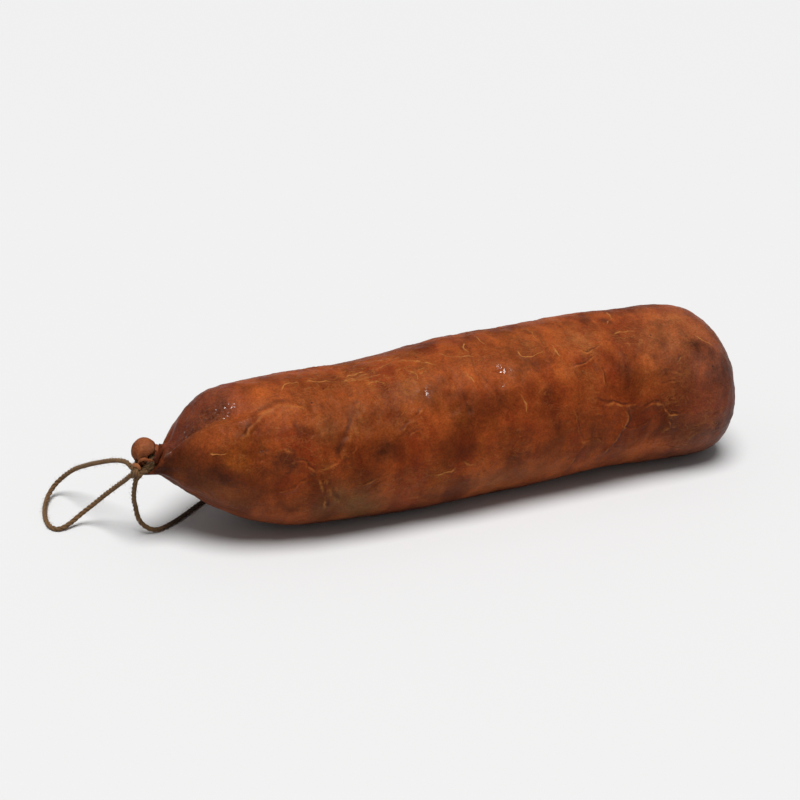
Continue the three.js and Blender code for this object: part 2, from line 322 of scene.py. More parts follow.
def casing_material():
    """Smoked natural casing: blotched orange-brown skin, satin, with creases and fine wrinkles."""
    material, tree, shader = new_material(
        "smoked_casing", Roughness=0.45, IOR=1.4, Specular_IOR_Level=0.115,
        Specular_Tint=colour(1.0, 0.75, 0.55), Coat_Roughness=0.12, Coat_IOR=1.7,
        Subsurface_Weight=0.08, Subsurface_Scale=0.002, Subsurface_Radius=(1.0, 0.35, 0.15),
    )
    place = tree.place()
    ringwise = tree.stretched(place, (1.0, 0.5, 0.5))

    # Mottling, from broad to fine.
    broad = tree.noise(place, 26, detail=3, distortion=0.4)
    cloudy = tree.noise(ringwise, 8.5, detail=3, rough=0.5, distortion=0.6)
    fine = tree.noise(place, 2.4, detail=4, rough=0.65)
    tone = tree.plus(tree.times(broad, 0.45), tree.times(cloudy, 0.55))
    skin = tree.blend(tree.rise(tone, 0.34, 0.65), RED_BROWN, TAN)
    glow = tree.times(tree.rise(tree.noise(ringwise, 11, detail=3), 0.55, 0.72), 0.45)
    skin = tree.blend(glow, skin, AMBER)
    blotch = tree.noise(tree.stretched(place, (1.0, 0.55, 0.6)), 7.0, detail=3, rough=0.55, distortion=0.5)
    skin = tree.blend(tree.times(tree.rise(blotch, 0.54, 0.70), 0.38), skin, DARK_BROWN)

    # Places that differ: each is a soft spot on the casing, broken up by the mottling. The underside spot is
    # painted shade, darker and greyer towards the bottom.
    ragged = tree.rise(tree.noise(place, 3.5, detail=4, rough=0.6), 0.25, 0.65, 0.55, 1.0)
    for name, paint in (
        ("lobe", PURPLE_BROWN), ("neck", NECK_BROWN), ("knob", KNOB_BROWN), ("cap", CAP_BROWN),
        ("under", UNDERSIDE_SHADE), ("ember", EMBER), ("pale", PALE_FAT),
    ):
        skin = tree.blend(tree.times(tree.attribute(name), ragged), skin, paint)
    # Amber and stain spots are the skin's own colour; the facet spots are painted highlight on lit fold
    # facets and painted sheen on the upper front.
    for name, paint in (("amber", AMBER), ("stain", DARK_BROWN), ("facet_highlight", FACET_HIGHLIGHT)):
        share = tree.rise(tree.times(tree.attribute(name), ragged), 0.10, 0.85)
        skin = tree.blend(tree.times(share, 0.85), skin, paint)

    # Lighter and darker, from patches of a few centimetres down to single pores.
    patches = tree.rise(tree.noise(place, 17, detail=1, distortion=0.5), 0.28, 0.72, 0.70, 1.30)
    spread = tree.rise(fine, 0.25, 0.75, 0.87, 1.12)
    pores = tree.rise(tree.noise(place, 0.8, detail=3, rough=0.7), 0.3, 0.7, 0.78, 1.22)
    shade = tree.times(tree.times(spread, patches), pores)
    skin = tree.blend(1.0, skin, shade, kind="MULTIPLY")

    # Creases: painted highlight on the crests, with a line of painted shadow beside each.
    fold_gap = tree.attribute("fold_gap")
    fold_size = tree.attribute("fold_size")
    broken = tree.rise(tree.noise(place, 3.0, detail=3), 0.38, 0.62)
    crest_highlight = tree.times(tree.rise(tree.math("ABSOLUTE", fold_gap), 0.75, 0.0), broken)
    # painted shadow: a dark line beside each crease, where shade falls
    beside = tree.rise(tree.math("ABSOLUTE", tree.math("SUBTRACT", fold_gap, 1.3)), 1.0, 0.1)
    skin = tree.blend(tree.times(tree.times(beside, fold_size), 0.6), skin, DARK_BROWN)
    skin = tree.blend(tree.times(tree.times(crest_highlight, fold_size), 0.45), skin, CREST_HIGHLIGHT)
    # Thin wrinkle lines: painted highlight along each line.
    line_gap = tree.attribute("line_gap")
    line_size = tree.attribute("line_size")
    thread = tree.times(tree.rise(tree.math("ABSOLUTE", line_gap), 1.0, 0.1), line_size)
    skin = tree.blend(tree.times(tree.times(thread, ragged), 0.95), skin, CREST_HIGHLIGHT)

    # Fine wrinkles: thin lines of painted highlight where two stretched noises cross their middle.
    wrinkled = tree.attribute("wrinkled")
    wavy = tree.noise(tree.stretched(place, (0.55, 1.0, 1.0)), 4.2, detail=3, rough=0.6, distortion=1.0)
    wrinkle = tree.rise(tree.math("ABSOLUTE", tree.math("SUBTRACT", wavy, 0.5)), 0.045, 0.0)
    patchy = tree.rise(tree.noise(place, 15, detail=2), 0.45, 0.65)
    wrinkle = tree.times(wrinkle, tree.math("MAXIMUM", wrinkled, tree.times(patchy, 0.35)))
    wrinkle = tree.times(wrinkle, tree.rise(broken, 0.0, 1.0, 0.4, 1.0))
    skin = tree.blend(tree.times(wrinkle, 0.62), skin, CREST_HIGHLIGHT)

    # Tiny dark specks.
    cells = tree.add("ShaderNodeTexVoronoi", {"Vector": place, "Scale": 1 / (13 * MM), "Randomness": 1.0})
    speck = tree.rise(cells.outputs["Distance"], 0.045, 0.025)
    skin = tree.blend(tree.times(speck, 0.85), skin, colour(0.03, 0.012, 0.01))
    tree.link(skin, shader, "Base Color")

    # Roughness: drier on the dark blotches, wet in the crackled lobe.
    dryness = tree.rise(tree.plus(tree.times(blotch, 0.5), tree.times(fine, 0.5)), 0.3, 0.7, 0.36, 0.56)
    dryness = tree.plus(dryness, tree.times(tree.attribute("knob"), 0.2))
    tree.link(dryness, shader, "Roughness")
    fleck = tree.rise(tree.noise(place, 0.9, detail=2), 0.50, 0.58)
    wet = tree.times(tree.times(fleck, tree.attribute("crackled")), 0.9)
    tree.link(wet, shader, "Coat Weight")

    # Relief finer than the mesh.
    grain = tree.noise(place, 0.9, detail=3, rough=0.6)
    pucker = tree.noise(tree.stretched(place, (1.0, 0.6, 0.6)), 3.0, detail=4, rough=0.6, distortion=0.8)
    crackle = tree.noise(place, 1.7, detail=4, rough=0.7, distortion=1.2)
    height = tree.plus(tree.times(grain, 0.035), tree.times(pucker, 0.22))
    height = tree.plus(height, tree.times(wrinkle, 0.24))
    height = tree.plus(height, tree.times(thread, 0.22))
    height = tree.plus(height, tree.times(tree.times(crackle, tree.attribute("crackled")), 0.9))
    tree.bump(shader, height, 1.0)
    return material


def twine_material():
    """Jute: dull fibres that run along each ply, paler on top and dark between the plies."""
    material, tree, shader = new_material("jute_twine", Roughness=0.9, IOR=1.35, Sheen_Weight=0.05)
    along = tree.attribute("along")
    around = tree.attribute("around")
    ply = tree.attribute("ply")
    run = tree.out("ShaderNodeCombineXYZ", {
        0: tree.times(along, 0.18), 1: tree.times(around, 0.004), 2: tree.times(ply, 0.05),
    })
    fibres = tree.noise(run, 0.35, detail=4, rough=0.7)
    place = tree.place()
    patches = tree.noise(place, 5, detail=3)
    jute = tree.blend(tree.rise(fibres, 0.3, 0.7), colour(0.058, 0.029, 0.011), colour(0.215, 0.112, 0.043))
    jute = tree.blend(tree.rise(patches, 0.35, 0.7, 0.0, 0.5), jute, colour(0.105, 0.058, 0.023))
    parts = tree.add("ShaderNodeSeparateXYZ", {0: place}).outputs
    # Painted shadow: the tail is darker where it lies low beside the sausage.
    tail_shadow = tree.times(tree.rise(parts["X"], -0.127, -0.110), tree.rise(parts["Z"], 0.022, 0.008))
    jute = tree.blend(tree.times(tail_shadow, 0.8), jute, colour(0.022, 0.013, 0.009))
    tree.link(jute, shader, "Base Color")
    tree.bump(shader, fibres, 0.15, strength=0.7)
    return material


def fibre_material():
    """Single stray fibres: paler and thinner than the plies."""
    material, tree, shader = new_material("jute_fibre", Roughness=0.8, IOR=1.4)
    place = tree.place()
    shade = tree.noise(place, 3, detail=2)
    fibre = tree.blend(tree.rise(shade, 0.3, 0.7), colour(0.13, 0.077, 0.033), colour(0.28, 0.175, 0.082))
    tree.link(fibre, shader, "Base Color")
    return material


def torn_skin_material():
    """Dried orange skin, for the scrap under the knob."""
    material, tree, shader = new_material("torn_casing", Roughness=0.5, IOR=1.45)
    place = tree.place()
    shade = tree.noise(place, 1.4, detail=4, rough=0.6)
    skin = tree.blend(tree.rise(shade, 0.3, 0.7), colour(0.22, 0.062, 0.012), colour(0.37, 0.118, 0.025))
    tree.link(skin, shader, "Base Color")
    tree.bump(shader, shade, 0.4, strength=0.8)
    return material


CASING = casing_material()
JUTE = twine_material()
FIBRE = fibre_material()
TORN = torn_skin_material()


# ---------------------------------------------------------------------------
# Camera and twine
# ---------------------------------------------------------------------------

def make_camera():
    back = direction(CAMERA_AZIMUTH, CAMERA_ELEVATION)
    data = bpy.data.cameras.new("camera")
    data.lens, data.sensor_width = CAMERA_LENS, SENSOR
    data.clip_start, data.clip_end = 0.01, 20
    camera = new_object("camera", data)
    camera.location = (CAMERA_TARGET + back * CAMERA_DISTANCE) * MM
    camera.rotation_mode = "QUATERNION"
    camera.rotation_quaternion = (-back).to_track_quat("-Z", "Y")
    bpy.context.scene.camera = camera


def geometry_tree(name, sizes):
    """A Geometry Nodes tree with named inputs for its sizes and its material."""
    group = bpy.data.node_groups.new(name, "GeometryNodeTree")
    group.interface.new_socket("Geometry", in_out="INPUT", socket_type="NodeSocketGeometry")
    for label, kind in sizes:
        group.interface.new_socket(label, in_out="INPUT", socket_type=kind)
    group.interface.new_socket("Material", in_out="INPUT", socket_type="NodeSocketMaterial")
    group.interface.new_socket("Geometry", in_out="OUTPUT", socket_type="NodeSocketGeometry")
    tree = Tree(group)
    return group, tree, tree.add("NodeGroupInput").outputs


def close_tree(tree, geometry, material):
    """Every tree ends the same way: real geometry with its material."""
    real = tree.out("GeometryNodeRealizeInstances", {0: geometry})
    painted = tree.out("GeometryNodeSetMaterial", {"Geometry": real, "Material": material})
    tree.add("NodeGroupOutput", {0: painted})


def laid_twine_tree():
    """Plies that wind round a curve and round each other, each a tube."""
    group, tree, given = geometry_tree("laid_twine", [
        ("Plies", "NodeSocketInt"), ("Ply Radius", "NodeSocketFloat"), ("Lay Radius", "NodeSocketFloat"),
        ("Pitch", "NodeSocketFloat"), ("Step", "NodeSocketFloat"), ("Sides", "NodeSocketInt"),
    ])
    curve = tree.out("GeometryNodeResampleCurve", {"Curve": given["Geometry"], "Length": given["Step"]},
                     mode="LENGTH")
    curve = tree.out("GeometryNodeSetCurveNormal", {"Curve": curve}, mode="MINIMUM_TWIST")
    capture = tree.add("GeometryNodeCaptureAttribute")
    for kind, label in (("VECTOR", "Normal"), ("VECTOR", "Tangent"), ("FLOAT", "Along")):
        capture.capture_items.new(kind, label)
    tree.link(curve, capture, "Geometry")
    tree.link(tree.out("GeometryNodeInputNormal"), capture, "Normal")
    tree.link(tree.out("GeometryNodeInputTangent"), capture, "Tangent")
    tree.link(tree.add("GeometryNodeSplineParameter").outputs["Length"], capture, "Along")
    copies = tree.add("GeometryNodeDuplicateElements", {
        "Geometry": capture.outputs["Geometry"], "Amount": given["Plies"],
    }, domain="SPLINE")
    along = capture.outputs["Along"]
    index = copies.outputs["Duplicate Index"]
    laid = tree.math("DIVIDE", along, given["Pitch"])
    turns = tree.plus(laid, tree.math("DIVIDE", index, given["Plies"]))
    arm = tree.out("ShaderNodeVectorMath", {0: capture.outputs["Normal"], "Scale": given["Lay Radius"]},
                   operation="SCALE")
    offset = tree.out("ShaderNodeVectorRotate", {
        "Vector": arm, "Axis": capture.outputs["Tangent"], "Angle": tree.times(turns, 2 * math.pi),
    }, rotation_type="AXIS_ANGLE")
    plies = tree.out("GeometryNodeSetPosition",
                     {"Geometry": copies.outputs["Geometry"], "Offset": offset})
    for label, value in (("along", along), ("ply", index)):
        plies = tree.out("GeometryNodeStoreNamedAttribute",
                         {"Geometry": plies, "Name": label, "Value": value},
                         data_type="FLOAT", domain="POINT")
    section = tree.out("GeometryNodeCurvePrimitiveCircle",
                       {"Resolution": given["Sides"], "Radius": given["Ply Radius"]})
    section = tree.out("GeometryNodeStoreNamedAttribute", {
        "Geometry": section, "Name": "around",
        "Value": tree.add("GeometryNodeSplineParameter").outputs["Factor"],
    }, data_type="FLOAT", domain="POINT")
    tubes = tree.out("GeometryNodeCurveToMesh",
                     {"Curve": plies, "Profile Curve": section, "Fill Caps": True})
    tubes = tree.out("GeometryNodeSetShadeSmooth", {"Geometry": tubes})
    close_tree(tree, tubes, given["Material"])
    return group


def stray_fibres_tree():
    """Short bent fibres that stand out of a surface."""
    group, tree, given = geometry_tree("stray_fibres", [
        ("Density", "NodeSocketFloat"), ("Fibre Length", "NodeSocketFloat"),
        ("Fibre Radius", "NodeSocketFloat"), ("Seed", "NodeSocketInt"),
    ])
    spread = tree.add("GeometryNodeDistributePointsOnFaces", {
        "Mesh": given["Geometry"], "Density": given["Density"], "Seed": given["Seed"],
    }, distribute_method="RANDOM")
    length = given["Fibre Length"]
    bend_x, bend_z, tip_z = (tree.times(length, share) for share in (0.35, 0.4, 0.5))
    reach = tree.out("ShaderNodeCombineXYZ", {0: bend_x, 2: bend_z})
    tip = tree.out("ShaderNodeCombineXYZ", {0: length, 2: tip_z})
    hair = tree.out("GeometryNodeCurveQuadraticBezier",
                    {"Resolution": 4, "Start": (0.0, 0.0, 0.0), "Middle": reach, "End": tip})
    section = tree.out("GeometryNodeCurvePrimitiveCircle",
                       {"Resolution": 3, "Radius": given["Fibre Radius"]})
    hair = tree.out("GeometryNodeCurveToMesh",
                    {"Curve": hair, "Profile Curve": section, "Fill Caps": True})
    spin = tree.out("FunctionNodeRandomValue", {
        "Min": (-0.4, -0.4, 0.0), "Max": (0.4, 0.4, 2 * math.pi), "Seed": given["Seed"],
    }, data_type="FLOAT_VECTOR")
    turned = tree.out("FunctionNodeRotateRotation", {
        "Rotation": spread.outputs["Rotation"],
        "Rotate By": tree.out("FunctionNodeEulerToRotation", {0: spin}),
    }, rotation_space="LOCAL")
    size = tree.add("FunctionNodeRandomValue", {"Min": 0.35, "Max": 1.0, "Seed": given["Seed"]},
                    data_type="FLOAT").outputs[1]
    fibres = tree.out("GeometryNodeInstanceOnPoints", {
        "Points": spread.outputs["Points"], "Instance": hair, "Rotation": turned, "Scale": size,
    })
    close_tree(tree, fibres, given["Material"])
    return group


def grown(name, source, group, values):
    """The plain mesh that a tree makes of an object, with its inputs set by their identifiers."""
    modifier = source.modifiers.new(name, "NODES")
    modifier.node_group = group
    for item in group.interface.items_tree:
        if item.in_out == "INPUT" and item.name in values:
            modifier[item.identifier] = values[item.name]
    evaluated = source.evaluated_get(bpy.context.evaluated_depsgraph_get())
    mesh = bpy.data.meshes.new_from_object(evaluated)
    mesh.name = name
    source.modifiers.remove(modifier)
    return mesh


LAID_TWINE = laid_twine_tree()
STRAY_FIBRES = stray_fibres_tree()


def curve_object(name, routes):
    """A curve of one open spline for each route in mm."""
    data = bpy.data.curves.new(name, "CURVE")
    data.dimensions = "3D"
    for route in routes:
        line = data.splines.new("POLY")
        line.points.add(len(route) - 1)
        line.points.foreach_set("co", np.c_[np.asarray(route) * MM, np.ones(len(route))].ravel())
    return new_object(name, data)


def twine(name, routes, seed):
    """Three-ply twine along each route, and its stray fibres."""
    curve = curve_object(name + "_line", routes)
    mesh = grown(name, curve, LAID_TWINE, {
        "Plies": PLIES, "Ply Radius": PLY_RADIUS * TWINE * MM, "Lay Radius": LAY_RADIUS * TWINE * MM,
        "Pitch": LAY_PITCH * TWINE * MM, "Step": 0.5 * MM, "Sides": 9, "Material": JUTE,
    })
    bpy.data.objects.remove(curve)
    cord = new_object(name, mesh)
    fibres = new_object(name + "_fibres", grown(name + "_fibres", cord, STRAY_FIBRES, {
        "Density": FIBRES_PER_M2, "Fibre Length": FIBRE_LENGTH * MM, "Fibre Radius": FIBRE_RADIUS * MM,
        "Seed": seed, "Material": FIBRE,
    }))
    places = np.zeros(3 * len(fibres.data.vertices))
    fibres.data.vertices.foreach_get("co", places)
    places[2::3] = np.maximum(places[2::3], 0)      # none reaches under the table
    fibres.data.vertices.foreach_set("co", places)
    for piece in (cord, fibres):
        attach(piece, "root")
    return cord, fibres


def loose_twine(name, node, points, seed):
    """A free length of twine: it replaces its solid."""
    route = spline(points, 0.4)
    cord, fibres = twine(name, [route], seed)
    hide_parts(node)


make_camera()
loose_twine("loop_twine", "twine_loop", LOOP_ROUTE, seed=3)
loose_twine("tail_twine", "twine_tail", TAIL_ROUTE, seed=4)


# ---------------------------------------------------------------------------
# The casing
# ---------------------------------------------------------------------------

def body_section(x):
    """Centre, half-width, half-height and tilt of the body's section at places along X."""
    from_cap = CAP_X - x
    from_neck = x - NECK_X - SHOULDER_START
    from_middle = (x - MIDDLE_X) / HALF_SPAN
    radius = BODY_RADIUS * (1 + BULGE_SHARE * bell((x - BULGE_X) / BULGE_REACH) + TAPER * from_middle)
    grow_top = shoulder(from_neck, SHOULDER_TOP)
    grow_bottom = shoulder(from_neck, SHOULDER_BOTTOM)
    top = mix(POLE_Z, 2 * radius - SAG, corner(from_cap / CAP_TOP[0], CAP_TOP[1]))
    bottom = mix(POLE_Z, -SAG, corner(from_cap / CAP_BOTTOM[0], CAP_BOTTOM[1]))
    collar = corner((x - NECK_X - COLLAR_START) / COLLAR_REACH, 2)
    neck_z = NECK_Z - math.tan(NECK_TILT) * np.clip(x - NECK_X, 0, COLLAR_START)
    top = mix(neck_z + mix(NECK_RADIUS, COLLAR_TOP, collar), top, grow_top)
    bottom = mix(neck_z - mix(NECK_RADIUS, COLLAR_BOTTOM, collar), bottom, grow_bottom)
    full = radius * SIDE_SPREAD * corner(from_cap / CAP_SIDE[0], CAP_SIDE[1])
    bow = BOW * (1 - from_middle ** 2)
    swing = CAP_SWING * (1 - smooth(from_cap / CAP_SWING_LENGTH))
    centre = np.stack([x, AXIS_Y - bow - swing, (top + bottom) / 2], axis=-1)
    half_width = mix(mix(NECK_RADIUS, COLLAR_SIDE, collar), full, (grow_top + grow_bottom) / 2)
    tilt = NECK_TILT * np.exp(-np.maximum(x - NECK_X - COLLAR_START, 0) / TILT_REACH)
    return centre, half_width, (top - bottom) / 2, tilt


def knob_section(beyond):
    """The same for the knob, at distances past the waist: it bends up over the twine, then stands."""
    to_tip = (beyond - KNOB_MIDDLE) / KNOB_RADIUS
    from_neck = (beyond - KNOB_START) / (KNOB_MIDDLE - KNOB_START)
    outer = KNOB_RADIUS * corner(1 - to_tip, 2)
    inner = mix(NECK_RADIUS, KNOB_RADIUS, corner(from_neck, 2))
    ball = np.where(to_tip > 0, outer, inner)
    tilt = NECK_TILT + KNOB_BEND * np.minimum(beyond / KNOB_MIDDLE, 1)
    arc = KNOB_MIDDLE / KNOB_BEND
    ahead = np.maximum(beyond - KNOB_MIDDLE, 0)
    back = arc * (np.sin(tilt) - math.sin(NECK_TILT)) + ahead * np.cos(tilt)
    lift = arc * (math.cos(NECK_TILT) - np.cos(tilt)) + ahead * np.sin(tilt)
    waist = body_section(np.array(NECK_X))[0]
    return waist + np.stack([-back, 0 * back, lift], axis=-1), ball, ball, tilt


def smooth_casing(along, turn):
    """Points of the smooth casing: distance from the waist, and angle round from the top."""
    body = body_section(NECK_X + np.maximum(along, 0))
    knob = knob_section(np.maximum(-along, 0))
    on_knob = along < 0
    centre = np.where(on_knob[..., None], knob[0], body[0])
    half_width, half_height, tilt = (np.where(on_knob, k, b) for k, b in zip(knob[1:], body[1:]))
    rise = half_height * np.cos(turn)
    out = np.stack([rise * np.sin(tilt), half_width * np.sin(turn), rise * np.cos(tilt)], axis=-1)
    return centre + out


def casing_normals(along, turn):
    step = 0.02
    across = smooth_casing(along + step, turn) - smooth_casing(along - step, turn)
    around = smooth_casing(along, turn + step) - smooth_casing(along, turn - step)
    return unit(np.cross(across, around))


# Pleats that run from the tie up the shoulder: degrees round, depth and length in mm.
PLEAT_WIDTH = 15.0
PLEATS = [
    (-78, 0.5, 22), (-112, 0.8, 34), (-150, 0.9, 40), (172, 0.7, 30),
    (128, 1.0, 38), (88, 0.8, 30), (46, 1.0, 34), (8, 0.6, 24),
]

# The front lobe of the shoulder folds over the top lobe along this path.
# Every path here is a list of (mm along X, degrees round from the top).
LIP_DEPTH, LIP_FRONT, LIP_BACK = 2.0, 1.6, 8.0
LIP_PATH = [(-117, -22), (-113, -27), (-108, -31), (-104, -30), (-98, -32), (-91, -32), (-82, -30)]

# Folds of the casing: height and half-width in mm, and path.
FOLDS = [
    (0.8, 0.8, [(-94, -54), (-91, -52), (-89, -45), (-87, -41)]),
    (0.5, 1.8, [(-91, -56), (-89, -46), (-85, -39), (-79, -32), (-74, -30), (-68, -34), (-63, -39)]),
    (0.75, 1.7, [(-58, -78), (-54, -68), (-51, -60), (-48, -52), (-45, -42), (-42, -33)]),
    (0.5, 0.8, [(-66, -83), (-61, -81), (-57, -76), (-53, -68)]),
    (0.5, 0.6, [(-55, -73), (-51, -72), (-48, -65)]),
    (0.7, 0.8, [(-76, -75), (-71, -73), (-70, -78), (-65, -84)]),
    (0.6, 0.6, [(-79, -64), (-75, -66), (-70, -66)]),
    (0.9, 1.1, [(-65, -85), (-65, -92), (-63, -103), (-62, -118)]),
    (0.5, 1.2, [(-63, -86), (-61, -100), (-56, -112), (-50, -124)]),
    (0.8, 0.7, [(-49, -98), (-43, -94), (-38, -93), (-33, -90)]),
    (0.6, 0.6, [(-43, -101), (-39, -97), (-35, -96)]),
    (0.7, 0.7, [(-31, -63), (-26, -59), (-22, -54), (-18, -50)]),
    (0.6, 0.6, [(-28, -67), (-24, -65), (-20, -66)]),
    (0.7, 0.8, [(-82, -100), (-75, -95), (-72, -90), (-68, -87)]),
    (0.8, 0.7, [(46, -45), (50, -44), (54, -43), (58, -41), (61, -38)]),
    (0.7, 0.7, [(55, -32), (57, -35), (61, -34), (66, -31)]),
    (0.4, 0.6, [(48, -45), (48, -51), (50, -56)]),
    (0.5, 0.6, [(60, -44), (61, -50), (61, -58), (62, -65)]),
    (0.9, 0.9, [(53, -68), (58, -72), (63, -74), (69, -77), (76, -76)]),
    (0.8, 0.6, [(45, -72), (46, -82), (47, -91), (50, -99), (54, -98), (61, -105)]),
    (0.6, 0.9, [(50, -100), (47, -106), (46, -116), (45, -128)]),
    (0.9, 1.0, [(68, -77), (69, -84), (68, -92), (65, -101), (61, -110), (60, -118)]),
    (0.8, 0.6, [(66, -92), (72, -95), (77, -95), (80, -91)]),
    (0.9, 0.9, [(75, -83), (79, -80), (83, -79), (86, -80), (87, -85), (89, -89), (93, -90), (98, -89)]),
    (0.6, 0.8, [(88, -90), (90, -95), (90, -101), (87, -103)]),
    (0.5, 0.8, [(85, -61), (89, -58), (93, -59), (98, -61)]),
    (0.4, 0.8, [(82, -63), (86, -66), (92, -66), (98, -67)]),
    (0.8, 0.6, [(95, -55), (98, -51), (102, -46)]),
    (0.4, 0.9, [(99, -115), (105, -108), (111, -97), (116, -90)]),
    (0.4, 0.8, [(64, -109), (67, -111), (71, -112)]),
    (0.4, 0.9, [(84, -116), (91, -120), (99, -126)]),
    (0.5, 1.0, [(-118, -50), (-117, -38), (-113, -33), (-108, -35)]),
]

# Thin wrinkles in the top skin, only a few tenths of a millimetre high.
LINES = [
    [(9, -2), (9, -5), (8, -8), (8, -13)],
    [(4, -29), (4, -34), (5, -40)],
    [(-3, -6), (-1, -12), (3, -16), (6, -18), (10, -19)],
    [(-22, -2), (-18, -5), (-14, -10), (-10, -16), (-6, -20)],
    [(-46, -14), (-39, -11), (-32, -8), (-28, -7)],
    [(-31, -9), (-28, -6), (-22, -3), (-17, -7), (-12, -14)],
    [(-47, -14), (-41, -15), (-35, -14), (-29, -15)],
    [(-38, -22), (-33, -21), (-30, -24)],
    [(-44, -10), (-40, -7), (-35, -6)],
    [(-20, -14), (-19, -18), (-17, -22), (-17, -28)],
    [(-17, -101), (-14, -100), (-10, -100), (-8, -97)],
    [(-5, -94), (-2, -97), (1, -98)],
    [(36, 2), (39, -2), (39, -9)],
    [(44, -22), (44, -29), (45, -34)],
    [(28, -22), (29, -26), (31, -29), (36, -28), (39, -26)],
    [(17, 6), (17, -2), (18, -9)],
    [(38, 3), (39, -4), (39, -13), (40, -18)],
    [(80, 10), (78, -3), (74, -10)],
    [(74, -22), (78, -20), (84, -22)],
    [(109, -30), (113, -36), (117, -38)],
    [(-61, -10), (-57, -11), (-51, -12)],
    [(-72, -15), (-68, -9), (-63, -10)],
    [(-105, -69), (-102, -70), (-99, -68)],
    [(-29, 8), (-25, 4), (-20, 5)],
    [(22, -52), (24, -60), (24, -68)],
    [(-58, 18), (-50, 22), (-44, 18)],
    [(60, 30), (66, 36), (70, 46), (69, 58)],
    [(12, 60), (18, 66), (21, 78), (19, 92)],
    [(-62, 74), (-55, 80), (-51, 92), (-53, 104)],
    [(92, 66), (98, 74), (99, 88)],
]

# The same kinds of fold on the side away from the main view.
BACK_FOLDS = [
    (1.0, 1.2, [(-86, 40), (-80, 48), (-70, 52), (-62, 60), (-60, 72)]),
    (0.8, 1.0, [(-60, 72), (-52, 78), (-44, 78)]),
    (0.7, 0.9, [(-60, 72), (-63, 86), (-60, 100)]),
    (0.9, 1.0, [(28, 60), (34, 70), (36, 84), (33, 98), (38, 110)]),
    (0.6, 0.8, [(36, 84), (44, 86), (50, 82)]),
    (0.7, 0.9, [(-14, 88), (-8, 96), (2, 98), (8, 106)]),
    (0.9, 1.0, [(78, 54), (82, 66), (90, 72), (92, 86), (88, 98)]),
    (0.6, 0.8, [(92, 86), (100, 88), (106, 84)]),
    (0.5, 0.8, [(64, 104), (70, 112), (80, 114)]),
    (0.6, 0.8, [(-100, 96), (-94, 104), (-84, 106)]),
]

